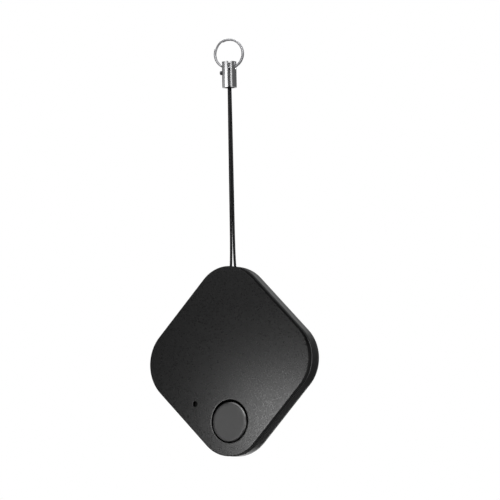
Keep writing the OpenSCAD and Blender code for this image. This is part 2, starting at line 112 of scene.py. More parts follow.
class NodeSheet:
    """A material's node tree, with short calls for the nodes that the finishes share."""

    def __init__(self, name: str) -> None:
        """Starts a material with one shader.

        Args:
            name: The material's name.
        """
        self.material = bpy.data.materials.new(name)
        self.material.use_nodes = True
        self.tree = self.material.node_tree
        self.shader = next(n for n in self.tree.nodes if n.type == "BSDF_PRINCIPLED")

    def join(self, socket: Socket, value: object) -> None:
        """Links a socket to another, or sets its value.

        Args:
            socket: The socket that is fed.
            value: The other socket, or the value.
        """
        if isinstance(value, Socket):
            self.tree.links.new(value, socket)
        else:
            socket.default_value = value

    def feed(self, node: Node, inputs: dict[str, object]) -> Node:
        """Feeds a node.

        Args:
            node: The node.
            inputs: What its sockets get, by name with _ for a space: a value, or a socket to link.

        Returns:
            The node.
        """
        for name, value in inputs.items():
            self.join(node.inputs[name.replace("_", " ")], value)
        return node

    def add(self, kind: str, **inputs: object) -> Node:
        """Adds a node of a type, named without its ShaderNode, and feeds it."""
        return self.feed(self.tree.nodes.new("ShaderNode" + kind), inputs)

    def dress(self, **inputs: object) -> Material:
        """Feeds the shader, and gives the finished material."""
        self.feed(self.shader, inputs)
        return self.material

    def place(self, scale: Triple = (1, 1, 1), shift: Triple = (0, 0, 0)) -> Socket:
        """Object coordinates, scaled along each axis and then shifted."""
        coords = self.add("TexCoord").outputs["Object"]
        return self.add("Mapping", Vector=coords, Scale=scale, Location=shift).outputs["Vector"]

    def noise(self, vector: Socket, size: float, detail: float = 2.0) -> Socket:
        """Noise from 0 to 1 whose lumps are about size across, with detail finer layers."""
        return self.add("TexNoise", Vector=vector, Scale=1 / size, Detail=detail).outputs["Fac"]

    def scaled(self, value: Socket, low: object, high: object, span: Point = NOISE_MIDDLE) -> Socket:
        """Maps a value's span to the one from low to high, numbers or sockets, and holds it there."""
        ends = {"From_Min": span[0], "From_Max": span[1], "To_Min": low, "To_Max": high}
        return self.add("MapRange", Value=value, **ends).outputs["Result"]

    def reckon(self, operation: str, first: object, second: object) -> Socket:
        """Works out one value from two.

        Args:
            operation: The Math node's operation.
            first: The first value, as a number or a socket.
            second: The second value.

        Returns:
            The result.
        """
        node = self.add("Math", Value=first)
        node.operation = operation
        self.join(node.inputs[1], second)
        return node.outputs["Value"]

    def blend(self, share: Socket, first: Triple, second: Triple) -> Socket:
        """The first colour with a share of the second mixed in."""
        return self.add("MixRGB", Fac=share, Color1=(*first, 1), Color2=(*second, 1)).outputs["Color"]

    def bump(self, height: Socket, depth: float, under: Socket | None = None) -> Socket:
        """The normal of a relief that is depth metres deep, over a coarser one's normal if given."""
        below = {} if under is None else {"Normal": under}
        return self.add("Bump", Height=height, Distance=depth, Strength=1.0, **below).outputs["Normal"]


@dataclass(frozen=True)
class SeamShade:
    """A band along the case's seam that reflects less, as painted shade, fading back to full reflection
    towards the bottom corner.
    """

    behind: float = -0.88 * MM
    soft: float = 0.04 * MM
    shade_fade: Point = (-75 * MM, -70 * MM)
    specular: float = 0.05

    def gloss(self, sheet: NodeSheet, where: Socket, full: float) -> Socket:
        """How strongly the surface reflects.

        Args:
            sheet: The material's nodes.
            where: Object coordinates.
            full: What it is outside the band of painted shade.

        Returns:
            The specular level.
        """
        parts = sheet.add("SeparateXYZ", Vector=where).outputs
        # Painted shade: inside the band the reflection is turned down above the fade span and stays full
        # below it, so the band is darker at the top.
        band = sheet.scaled(parts["Z"], full, self.specular, self.shade_fade)
        return sheet.scaled(parts["Y"], band, full, (self.behind - self.soft, self.behind + self.soft))


@dataclass(frozen=True)
class MouldedFinish:
    """A moulded, fired or cast surface: plastic, epoxy, rubber or ceramic with a fine grain."""

    name: str
    colour: Triple
    roughness: float
    grain: float = 0.25 * MM
    depth: float = 3 * MICRON
    gloss_spread: float = 0.04
    tone: float = 0.25
    tone_size: float = 5 * MM
    grain_layers: float = 0.5
    pores_across: float = 3.0
    pore_shallower: float = 6.0
    subsurface: float = 0.0
    subsurface_scale: float = 0.3
    specular: float = 0.5
    # An optional band of painted shade along the seam, where the reflection is turned down.
    edge: SeamShade | None = None

    def make(self) -> Material:
        """Builds the material: cloudy tone, grain in the relief, and roughness that follows the grain.

        Returns:
            The material.
        """
        sheet = NodeSheet(self.name)
        where = sheet.place()
        cloud = sheet.noise(where, self.tone_size, CLOUDY)
        grain = sheet.noise(where, self.grain, self.grain_layers)
        pores = sheet.noise(where, self.grain / self.pores_across, 0.0)
        smooth, rough = self.roughness - self.gloss_spread, self.roughness + self.gloss_spread
        return sheet.dress(
            Base_Color=sheet.blend(cloud, self.colour, lighter(self.colour, self.tone)),
            Roughness=sheet.scaled(grain, smooth, rough),
            Normal=sheet.bump(pores, self.depth / self.pore_shallower, sheet.bump(grain, self.depth)),
            Specular_IOR_Level=self.edge.gloss(sheet, where, self.specular) if self.edge else self.specular,
            Subsurface_Weight=self.subsurface,
            Subsurface_Radius=(MM, MM, MM),
            Subsurface_Scale=self.subsurface_scale,
        )


@dataclass(frozen=True)
class MetalFinish:
    """Bare, rolled or plated metal, with streaks along the way that it was drawn or brushed."""

    name: str
    colour: Triple
    roughness: float
    streak: Triple = (1.0, 1.0, 0.08)
    streak_size: float = 0.06 * MM
    depth: float = 0.6 * MICRON
    smudge: float = 0.08
    smudge_size: float = 1.5 * MM
    smoothest: float = 0.8
    roughest: float = 1.2

    def make(self) -> Material:
        """Builds the material: streaked relief and roughness, with cloudy handling marks.

        Returns:
            The material.
        """
        sheet = NodeSheet(self.name)
        streaks = sheet.noise(sheet.place(scale=self.streak), self.streak_size)
        cloud = sheet.noise(sheet.place(), self.smudge_size, CLOUDY)
        tarnish = tuple(c * (1 - self.smudge) for c in self.colour)
        brushed = sheet.scaled(streaks, self.roughness * self.smoothest, self.roughness * self.roughest)
        return sheet.dress(
            Base_Color=sheet.blend(cloud, self.colour, tarnish),
            Roughness=sheet.reckon("ADD", brushed, sheet.scaled(cloud, 0, self.smudge)),
            Normal=sheet.bump(streaks, self.depth),
            Metallic=1.0,
        )


@dataclass(frozen=True)
class CordFinish:
    """Black twisted nylon: fibres run along the plies, by the cord's own attribute."""

    name: str
    colour: Triple
    attribute: str
    fibre: Triple = (9.0, 9.0, 0.5)
    fibre_tone: float = 2.0
    depth: float = 12 * MICRON
    roughness: Point = (0.55, 0.75)
    specular: float = 0.2

    def make(self) -> Material:
        """Builds the material: fibre streaks in colour, roughness and relief.

        Returns:
            The material.
        """
        sheet = NodeSheet(self.name)
        lay = sheet.add("Attribute")
        lay.attribute_name = self.attribute
        where = sheet.add("Mapping", Vector=lay.outputs["Vector"], Scale=self.fibre).outputs["Vector"]
        fibres = sheet.noise(where, 1.0, CLOUDY)
        return sheet.dress(
            Base_Color=sheet.blend(fibres, self.colour, lighter(self.colour, self.fibre_tone)),
            Roughness=sheet.scaled(fibres, *self.roughness),
            Normal=sheet.bump(fibres, self.depth),
            Specular_IOR_Level=self.specular,
        )


@dataclass(frozen=True)
class BoardFinish:
    """Green solder mask over woven glass, in the board's own plane."""

    name: str
    colour: Triple
    weave: float = 0.45 * MM
    weave_tone: float = 0.35
    distortion: float = 0.6
    depth: float = 2 * MICRON
    cloud_size: float = 3 * MM
    roughness: Point = (0.28, 0.4)
    coat: float = 0.6
    coat_roughness: float = 0.15

    def make(self) -> Material:
        """Builds the material: the weave shows faintly in colour and relief under a glossy mask.

        Returns:
            The material.
        """
        sheet = NodeSheet(self.name)
        where = sheet.place()
        bands = []
        for direction in ("X", "Z"):
            scale = 1 / self.weave / math.tau * 2
            wave = sheet.add("TexWave", Vector=where, Scale=scale, Distortion=self.distortion)
            wave.bands_direction = direction
            bands.append(wave.outputs["Fac"])
        cloth = sheet.reckon("MULTIPLY", *bands)
        return sheet.dress(
            Base_Color=sheet.blend(cloth, self.colour, lighter(self.colour, self.weave_tone)),
            Roughness=sheet.scaled(sheet.noise(where, self.cloud_size, CLOUDY), *self.roughness),
            Normal=sheet.bump(cloth, self.depth),
            Coat_Weight=self.coat,
            Coat_Roughness=self.coat_roughness,
        )


@dataclass(frozen=True)
class LedFinish:
    """A white package with a yellow phosphor pool in its middle."""

    name: str
    colour: Triple
    phosphor: Triple
    centre: Triple
    radius: float
    grain: float = 0.08 * MM
    depth: float = 2 * MICRON
    roughness: Point = (0.3, 0.45)
    subsurface: float = 0.2
    subsurface_scale: float = 0.2

    def make(self) -> Material:
        """Builds the material: the pool is a soft ball of colour about the package's centre.

        Returns:
            The material.
        """
        sheet = NodeSheet(self.name)
        size = 1 / self.radius
        shift = tuple(-c * size for c in self.centre)
        ball = sheet.add("TexGradient", Vector=sheet.place(scale=(size, size, size), shift=shift))
        ball.gradient_type = "SPHERICAL"
        grain = sheet.noise(sheet.place(), self.grain)
        return sheet.dress(
            Base_Color=sheet.blend(sheet.scaled(ball.outputs["Fac"], 0.0, 1.0), self.colour, self.phosphor),
            Roughness=sheet.scaled(grain, *self.roughness),
            Normal=sheet.bump(grain, self.depth),
            Subsurface_Weight=self.subsurface,
            Subsurface_Radius=(MM, MM, MM),
            Subsurface_Scale=self.subsurface_scale,
        )


@dataclass(frozen=True)
class FloorFinish:
    """A pale paper floor that glows a little, as one lit from below does, and is clear from its underside."""

    name: str
    colour: Triple
    glow: float
    cloud_size: float = 60 * MM
    cloud_tone: float = 0.04
    fibre_size: float = 4 * MM
    depth: float = 20 * MICRON
    roughness: Point = (0.7, 0.8)

    def make(self) -> Material:
        """Builds the material: faint clouds in the colour, fibres in the relief, and the glow.

        Returns:
            The material.
        """
        sheet = NodeSheet(self.name)
        where = sheet.place()
        cloud, fibres = sheet.noise(where, self.cloud_size, CLOUDY), sheet.noise(where, self.fibre_size)
        underside = sheet.add("NewGeometry").outputs["Backfacing"]
        return sheet.dress(
            Base_Color=sheet.blend(cloud, self.colour, lighter(self.colour, self.cloud_tone)),
            Roughness=sheet.scaled(fibres, *self.roughness),
            Normal=sheet.bump(fibres, self.depth),
            Emission_Color=(1, 1, 1, 1),
            Emission_Strength=self.glow,
            Alpha=sheet.reckon("SUBTRACT", 1.0, underside),
        )


Finish = MouldedFinish | MetalFinish | CordFinish | BoardFinish | LedFinish | FloorFinish


@cache
def paint(finish: Finish) -> Material:
    """A finish's material, made at its first use."""
    return finish.make()


FRONT_SATIN = MouldedFinish("front_satin_black", (0.006, 0.006, 0.0062), 0.31, 0.3 * MM, 0.7 * MICRON, 0.045)
# Painted shade: the rear shell reflects less in a band along its seam, so the seam line reads wider and
# darker, except towards the bottom corner.
REAR_SATIN = MouldedFinish(
    "rear_satin_black", (0.02, 0.02, 0.0205), 0.4, 0.3 * MM, 0.7 * MICRON, 0.05, edge=SeamShade()
)
BUTTON_SATIN = MouldedFinish("button_satin_black", (0.006, 0.006, 0.0062), 0.35, 0.3 * MM, 0.7 * MICRON, 0.06)
BRIGHT_NICKEL = MetalFinish("bright_nickel", (0.8, 0.8, 0.81), 0.1, smudge=0.05)
RING_NICKEL = MetalFinish(
    "ring_nickel", (0.3, 0.3, 0.31), 0.6, streak=(0.3, 0.3, 0.3), depth=0.15 * MICRON
)
BLACKENED_STEEL = MetalFinish("blackened_steel", (0.09, 0.09, 0.095), 0.38)
DRAWN_STEEL = MetalFinish("drawn_steel", (0.56, 0.56, 0.57), 0.26, streak=(0.08, 1.0, 1.0))
BLACK_NYLON = MouldedFinish("black_nylon", (0.014, 0.014, 0.015), 0.5, grain=0.12 * MM)
BLACK_CORD = CordFinish("twisted_black_nylon", (0.003, 0.003, 0.0033), "lay")
TINNED_STEEL = MetalFinish("tinned_steel", (0.62, 0.62, 0.6), 0.3, streak=(0.1, 1.0, 1.0))
CELL_NICKEL = MetalFinish("cell_nickel", (0.68, 0.68, 0.67), 0.28, streak=(1.0, 1.0, 0.1))
GOLD_FLASH = MetalFinish("gold_flash", (0.83, 0.6, 0.28), 0.3, streak=(1.0, 1.0, 1.0))
# Painted shade: the button's skirt is near black and barely reflects, so the gap round the cap stays dark.
SKIRT_SHADE = MouldedFinish("skirt_painted_shade", (0.002, 0.002, 0.002), 0.8, specular=0.05)
# Painted shade: the cup round the light pipe is black with no reflection, so the light hole stays dark.
CUP_SHADE = MouldedFinish("cup_painted_shade", (0.001, 0.001, 0.001), 0.8, specular=0.0)
# Painted shade: the front shell's side strip is near black and reflects little, darkest along its upper part
# and reflecting more towards the bottom corner.
STRIP_SHADE = SeamShade(shade_fade=(-80 * MM, -71 * MM), specular=0.03)
SIDE_SHADE = MouldedFinish("side_painted_shade_black", (0.003, 0.003, 0.003), 0.85, edge=STRIP_SHADE)
SMOKED_CLEAR = MouldedFinish("smoked_clear", (0.002, 0.002, 0.0025), 0.5, specular=0.08)
CHIP_EPOXY = MouldedFinish("chip_epoxy", (0.018, 0.018, 0.019), 0.55, grain=0.08 * MM)
DOT_GREY = MouldedFinish("dot_grey", (0.12, 0.12, 0.12), 0.6, grain=0.06 * MM)
FIRED_CERAMIC = MouldedFinish("fired_ceramic", (0.42, 0.29, 0.17), 0.45, grain=0.06 * MM, depth=2 * MICRON)
PLUNGER_WHITE = MouldedFinish("plunger_white", (0.75, 0.74, 0.7), 0.4, subsurface=0.1)
SEAL_BLACK = MouldedFinish("seal_black", (0.015, 0.015, 0.016), 0.5)
PRESSED_POWDER = MouldedFinish(
    "pressed_powder", (0.05, 0.05, 0.055), 0.8, grain=0.05 * MM, depth=8 * MICRON
)
GREEN_MASK = BoardFinish("green_mask", (0.008, 0.085, 0.03))
TRACK_MASK = BoardFinish("track_mask", (0.02, 0.15, 0.06))
PALE_FLOOR = FloorFinish("pale_floor", (0.78, 0.78, 0.78), 0.65)


def corners(edges: Iterable[BMEdge]) -> set[BMVert]:
    """The vertices that edges run between."""
    return {v for e in edges for v in e.verts}


def shade(mesh: bpy.types.Mesh, angle: float = SMOOTH_UP_TO) -> None:
    """Shades a mesh smooth over edges up to an angle, in degrees."""
    mesh.shade_smooth()
    mesh.set_sharp_from_angle(angle=math.radians(angle))


class Shape:
    """A bmesh under construction, in metres, with the operators that the pieces share."""

    def __init__(self) -> None:
        """Starts empty."""
        self.bm = bmesh.new()

    def chain(self, points: Iterable[Vector], closed: bool = False) -> list[BMEdge]:
        """Adds a line through points, joined to its start if it is closed, and gives its edges."""
        verts = [self.bm.verts.new(p) for p in points]
        return [self.bm.edges.new(pair) for pair in zip(verts, verts[1:] + verts[: int(closed)])]

    def disc(self, radius: float, sides: int) -> list[BMEdge]:
        """Adds a flat disc about the origin, and gives its edges."""
        made = bmesh.ops.create_circle(self.bm, cap_ends=True, radius=radius, segments=sides)
        return list({e for v in made["verts"] for e in v.link_edges})

    def turn(self, edges: Sequence[BMEdge], centre: Vector, angle: float, steps: int) -> list[BMEdge]:
        """Spins a line of edges about an upright axis.

        Args:
            edges: The line.
            centre: A point on the axis.
            angle: The turn, in radians; a full turn closes on itself.
            steps: How many faces it has along the turn.

        Returns:
            The line's edges after the turn.
        """
        full = math.isclose(angle, math.tau)
        made = bmesh.ops.spin(
            self.bm, geom=[*corners(edges), *edges], cent=centre, axis=(0, 0, 1), angle=angle, steps=steps,
            use_merge=full,
        )
        return [g for g in made["geom_last"] if isinstance(g, BMEdge)]

    def lathe(self, profile: Iterable[Point], at: Point, steps: int, closed: bool = False) -> None:
        """Spins a profile of radius and height a full turn about an upright axis.

        Args:
            profile: The profile's points.
            at: Where the axis stands.
            steps: How many faces it has round it.
            closed: Whether the profile is a loop.
        """
        centre = Vector((*at, 0))
        line = self.chain([centre + Vector((r, 0, h)) for r, h in profile], closed)
        self.turn(line, centre, math.tau, steps)
        self.weld()

    def shift(self, edges: Sequence[BMEdge], move: Matrix) -> list[BMEdge]:
        """Extrudes edges by a move.

        Args:
            edges: The edges.
            move: What moves their copies.

        Returns:
            The copies.
        """
        made = bmesh.ops.extrude_edge_only(self.bm, edges=edges)["geom"]
        verts = {g for g in made if isinstance(g, BMVert)}
        bmesh.ops.transform(self.bm, matrix=move, verts=list(verts))
        return [g for g in made if isinstance(g, BMEdge) and verts.issuperset(g.verts)]

    def follow(self, edges: list[BMEdge], frames: Sequence[Matrix]) -> Iterator[list[BMEdge]]:
        """Extrudes an outline about the origin along a row of frames.

        Args:
            edges: The outline.
            frames: Where it goes, from its start on.

        Yields:
            The outline's edges at each frame.
        """
        bmesh.ops.transform(self.bm, matrix=frames[0], verts=list(corners(edges)))
        yield edges
        for last, here in zip(frames, frames[1:]):
            edges = self.shift(edges, here @ last.inverted())
            yield edges

    def soften(self, edges: Sequence[BMEdge], width: float) -> None:
        """Rounds edges off, that far to each side."""
        bmesh.ops.bevel(
            self.bm, geom=edges, offset=width, segments=2, profile=0.5, affect="EDGES", material=-1
        )

    def block(self, centre: Triple, size: Triple, edge: float, turn: float = 0.0) -> None:
        """Adds a box with rounded edges.

        Args:
            centre: Its centre.
            size: Its sides.
            edge: The rounding of its edges.
            turn: Its turn about the upright, in radians.
        """
        matrix = Matrix.Translation(centre) @ Matrix.Rotation(turn, 4, "Z") @ Matrix.Diagonal((*size, 1))
        verts = bmesh.ops.create_cube(self.bm, size=1, matrix=matrix)["verts"]
        self.soften(list({e for v in verts for e in v.link_edges}), edge)

    def fill(self, height: float) -> None:
        """Closes the flat face at a height between all the open loops that lie in it."""
        rim = [
            e for e in self.bm.edges
            if e.is_boundary and all(abs(v.co.z - height) < SAME_HEIGHT for v in e.verts)
        ]
        bmesh.ops.triangle_fill(self.bm, use_beauty=True, edges=rim, normal=(0, 0, 1))

    def close_ends(self) -> None:
        """Closes each open loop with one face."""
        bmesh.ops.holes_fill(self.bm, edges=[e for e in self.bm.edges if e.is_boundary], sides=0)

    def weld(self) -> None:
        """Merges vertices that lie on each other."""
        bmesh.ops.remove_doubles(self.bm, verts=self.bm.verts, dist=SAME_PLACE)

    def finish(
        self, name: str, finish: Finish, place: Matrix = UNMOVED, smooth: float = SMOOTH_UP_TO
    ) -> Piece:
        """Turns the shape into a scene object at the origin.

        Args:
            name: The piece's name.
            finish: Its finish.
            place: What brings the shape's own frame into the part's frame.
            smooth: Edges up to this angle, in degrees, are shaded smooth.

        Returns:
            The object.
        """
        self.weld()
        bmesh.ops.transform(self.bm, matrix=place, verts=self.bm.verts)
        bmesh.ops.recalc_face_normals(self.bm, faces=self.bm.faces)
        mesh = bpy.data.meshes.new(name)
        self.bm.to_mesh(mesh)
        self.bm.free()
        shade(mesh, smooth)
        mesh.materials.append(paint(finish))
        piece = bpy.data.objects.new(name, mesh)
        bpy.context.scene.collection.objects.link(piece)
        return piece


def carve(piece: Piece, cutter: Piece) -> None:
    """Cuts one piece out of another for good.

    Args:
        piece: The piece that is cut.
        cutter: What is cut out of it; it is removed.
    """
    cut = piece.modifiers.new("holes", "BOOLEAN")
    cut.operation, cut.solver, cut.object = "DIFFERENCE", "EXACT", cutter
    graph = bpy.context.evaluated_depsgraph_get()
    carved = bpy.data.meshes.new_from_object(piece.evaluated_get(graph))
    piece.modifiers.clear()
    piece.data = carved
    bpy.data.objects.remove(cutter)


def break_edges(piece: Piece, width: float) -> None:
    """Rounds a piece's sharp edges with a live bevel.

    Args:
        piece: The piece.
        width: The bevel's width.
    """
    bevel = piece.modifiers.new("broken_edges", "BEVEL")
    bevel.width, bevel.segments, bevel.limit_method = width, 2, "ANGLE"
    bevel.angle_limit = math.radians(SHARP_FROM)
    bevel.harden_normals = True


def mount(piece: Piece, body: Body, slot: str, *nodes: str) -> None:
    """Sets a piece on its body, in place of the solids that it stands for.

    Args:
        piece: The piece.
        body: The body that it rides on.
        slot: The record's material slot of its finish; not used.
        *nodes: The solids that it replaces.
    """
    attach(piece, body.value)
    if nodes:
        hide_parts(*nodes)
    LOG.info("%s: %d faces on %s", piece.name, len(piece.data.polygons), body.value)


def paint_node(node: str, finish: Finish) -> None:
    """Gives a solid that stays as it is its finish."""
    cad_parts[node].material_slots[0].material = paint(finish)
    LOG.info("%s: solid in %s", node, finish.name)


@dataclass
class Softbox:
    """A square or oblong panel of soft light."""

    name: str
    place: Triple
    aim: Triple
    size: Point
    radiance: float
    reach: Reach = Reach.GLINT

    def hang(self) -> None:
        """Puts the panel up, facing its aim."""
        lamp = bpy.data.lights.new(self.name, "AREA")
        lamp.shape = "RECTANGLE"
        lamp.size, lamp.size_y = self.size
        lamp.energy = self.radiance * math.pi * self.size[0] * self.size[1]
        panel = bpy.data.objects.new(self.name, lamp)
        look = (Vector(self.aim) - Vector(self.place)).to_track_quat("-Z", "Y").to_matrix().to_4x4()
        panel.matrix_world = Matrix.Translation(self.place) @ look
        panel.visible_camera = False
        panel.visible_diffuse, panel.visible_glossy = self.reach.value
        bpy.context.scene.collection.objects.link(panel)


@dataclass
class Studio:
    """Camera, light and floor of a plain white studio."""

    face_centre: Triple = (0.0, -0.0028, -0.0745936)
    azimuth: float = 33.55
    elevation: float = -3.795
    roll: float = -1.1
    distance: float = 1.123
    pixels_per_metre: float = 4163.7
    image_size: float = 500.0
    face_pixel: Point = (228.4, 360.98)
    sensor: float = 36.0
    clip: Point = (0.01, 100.0)
    surround: float = 0.12
    floor_height: float = -0.25
    floor_radius: float = 6.0
    floor_sides: int = 96
    softboxes: list[Softbox] = field(default_factory=lambda: [
        Softbox("key_panel", (-0.03, -0.08, -0.0895), (0.02, 0.0, -0.09), (0.025, 0.025), 9.5),
        Softbox("chrome_left", (-0.075, -0.2, 0.010), (0.0, 0.0, -0.005), (0.2, 0.03), 1.9),
        Softbox("chrome_right", (0.18, -0.09, 0.010), (0.0, 0.0, -0.005), (0.1, 0.03), 0.7),
        Softbox("rim_panel", (0.0, 0.345, 0.195), (0.0, 0.0, -0.06), (0.2, 0.16), 0.9),
        Softbox("crescent_panel", (0.252, -0.201, 0.236), (0.0, -0.003, -0.089), (0.2, 0.38), 11.0),
        Softbox("crescent_top", (-0.053, -0.0757, 0.321), (0.0, -0.003, -0.089), (0.24, 0.24), 6.0),
        Softbox("crescent_low", (0.366, -0.2525, -0.1675), (0.0, -0.003, -0.089), (0.2, 0.24), 6.0),
        Softbox("back_panel", (-0.26, 0.38, -0.105), (0.0, 0.0, -0.09), (0.25, 0.08), 0.6),
        Softbox("low_panel", (-0.075, 0.166, -0.15), (0.0, 0.0, -0.095), (0.09, 0.09), 2.2),
        Softbox("left_panel", (-0.29, -0.078, 0.01), (0.0, 0.0, -0.005), (0.2, 0.05), 0.35),
        Softbox("front_fill", (0.15, -0.5, 0.5), (0.0, 0.0, -0.07), (0.6, 0.6), 3.5, Reach.FILL),
        Softbox("back_fill", (0.05, 0.6, 0.15), (0.0, 0.0, -0.07), (0.5, 0.5), 4.3, Reach.FILL),
        Softbox("floor_glint", (0.1, -0.3, -0.245), (0.1, -0.29, 0.0), (0.7, 0.45), 0.6),
    ])

    def place_camera(self) -> None:
        """Stands the camera where the photograph was taken from, without shift."""
        a, e, roll = (math.radians(v) for v in (self.azimuth, self.elevation, self.roll))
        back = Vector((math.sin(a) * math.cos(e), -math.cos(a) * math.cos(e), math.sin(e)))
        flat_right = Vector((math.cos(a), math.sin(a), 0))
        flat_up = back.cross(flat_right)
        right = flat_right * math.cos(roll) + flat_up * math.sin(roll)
        up = flat_up * math.cos(roll) - flat_right * math.sin(roll)
        focal = self.pixels_per_metre * self.distance
        middle = self.image_size / 2
        aside, below = (middle - self.face_pixel[0]) / focal, (self.face_pixel[1] - middle) / focal
        away = (-back + right * aside + up * below).normalized()
        right = (right - away * right.dot(away)).normalized()
        turn = Matrix((right, right.cross(away), -away)).transposed().to_4x4()
        lens = bpy.data.cameras.new("camera")
        lens.sensor_width = self.sensor
        lens.lens = self.sensor * focal / self.image_size
        lens.clip_start, lens.clip_end = self.clip
        camera = bpy.data.objects.new("camera", lens)
        camera.matrix_world = Matrix.Translation(Vector(self.face_centre) + back * self.distance) @ turn
        bpy.context.scene.collection.objects.link(camera)
        bpy.context.scene.camera = camera

    def light(self) -> None:
        """Hangs the panels in a dim surround with a white background behind the part."""
        for softbox in self.softboxes:
            softbox.hang()
        world = bpy.data.worlds.new("studio")
        world.use_nodes = True
        bpy.context.scene.world = world
        nodes, links = world.node_tree.nodes, world.node_tree.links
        surround = next(n for n in nodes if n.type == "BACKGROUND")
        surround.inputs["Color"].default_value = (self.surround, self.surround, self.surround, 1)
        white = nodes.new("ShaderNodeBackground")
        white.inputs["Color"].default_value = (1, 1, 1, 1)
        seen = nodes.new("ShaderNodeLightPath")
        either = nodes.new("ShaderNodeMixShader")
        links.new(seen.outputs["Is Camera Ray"], either.inputs["Fac"])
        links.new(surround.outputs["Background"], either.inputs[1])
        links.new(white.outputs["Background"], either.inputs[2])
        output = next(n for n in nodes if n.type == "OUTPUT_WORLD")
        links.new(either.outputs["Shader"], output.inputs["Surface"])
        bpy.context.scene.view_settings.view_transform = "Standard"

    def lay_floor(self) -> None:
        """Lays a round pale floor below the hanging tag."""
        shape = Shape()
        shape.disc(self.floor_radius, self.floor_sides)
        floor = shape.finish("studio_floor", PALE_FLOOR, Matrix.Translation((0, 0, self.floor_height)))
        floor.visible_glossy = floor.visible_diffuse = False


@dataclass
class LanyardCord:
    """The cord: from one end in the crimp down, round the bar in the case and up to the other end."""

    diameter: float = 0.63 * MM
    end_z: float = -5.1 * MM
    exit_z: float = -9.0 * MM
    crimp_z: float = -8.2165 * MM
    bar_z: float = -53.5 * MM
    strand_half: float = 0.32 * MM
    wrap_radius: float = 1.2 * MM
    near_share: float = 0.28
    flare_power: float = 14.0
    step: float = 0.15 * MM
    plies: int = 4
    sides: int = 24
    ply_groove: float = 0.05
    lay_length: float = 2.2 * MM
    swing_z: float = -50.0 * MM
    bend_half: float = 1.2 * MM
    smooth: float = 60.0

    def strand_place(self, z: float) -> float:
        """Sideways place of a strand: side by side below the crimp, and open above the bar.

        Args:
            z: The height.

        Returns:
            The distance from the middle between the strands.
        """
        fall = max(0.0, self.exit_z - z) / (self.exit_z - self.bar_z)
        share = self.near_share * (1 - (1 - fall) ** 2) + (1 - self.near_share) * fall ** self.flare_power
        return self.strand_half + (self.wrap_radius - self.strand_half) * share

    def route(self) -> list[Vector]:
        """The cord's centreline, in even steps.

        Returns:
            Its points.
        """
        drops = round((self.end_z - self.bar_z) / self.step)
        levels = [self.end_z + (self.bar_z - self.end_z) * k / drops for k in range(drops + 1)]
        down = [Vector((0, -self.strand_place(z), z)) for z in levels]
        turns = round(math.pi * self.wrap_radius / self.step)
        angles = [math.pi * k / turns for k in range(1, turns)]
        wrap = [(self.wrap_radius * math.cos(a), self.wrap_radius * math.sin(a)) for a in angles]
        loop = [Vector((0, -across, self.bar_z - below)) for across, below in wrap]
        return down + loop + [Vector((0, -p.y, p.z)) for p in reversed(down)]

    def ply_frame(self, route: Sequence[Vector], index: int, travelled: float) -> Matrix:
        """Place, direction and twist of the plies at a point of the route.

        Args:
            route: The centreline.
            index: Which of its points.
            travelled: The cord's length up to there.

        Returns:
            A frame whose z axis runs along the cord.
        """
        ahead = (route[min(index + 1, len(route) - 1)] - route[max(index - 1, 0)]).normalized()
        side = Vector((1, 0, 0))
        turn = Matrix((side, ahead.cross(side), ahead)).transposed().to_4x4()
        twist = Matrix.Rotation(math.tau * travelled / self.lay_length, 4, "Z")
        return Matrix.Translation(route[index]) @ turn @ twist

    def build(self) -> None:
        route = self.route()
        travelled = list(accumulate(((b - a).length for a, b in zip(route, route[1:])), initial=0.0))
        shape = Shape()
        lay = shape.bm.verts.layers.float_vector.new(BLACK_CORD.attribute)
        outline = shape.disc(self.diameter / 2, self.sides)
        for vert in corners(outline):
            angle = math.atan2(vert.co.y, vert.co.x)
            vert[lay] = (math.cos(angle), math.sin(angle), 0)
            vert.co *= 1 - self.ply_groove * (0.5 - 0.5 * math.cos(self.plies * angle))
        frames = [self.ply_frame(route, k, length) for k, length in enumerate(travelled)]
        for row, length in zip(shape.follow(outline, frames), travelled):
            for vert in corners(row):
                vert[lay] = (vert[lay].x, vert[lay].y, length / MM)
        shape.close_ends()
        cord = shape.finish("cord", BLACK_CORD, smooth=self.smooth)
        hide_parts("lanyard_cord")
        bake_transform(cord)
        LOG.info("cord: %.1f mm long", travelled[-1] / MM)


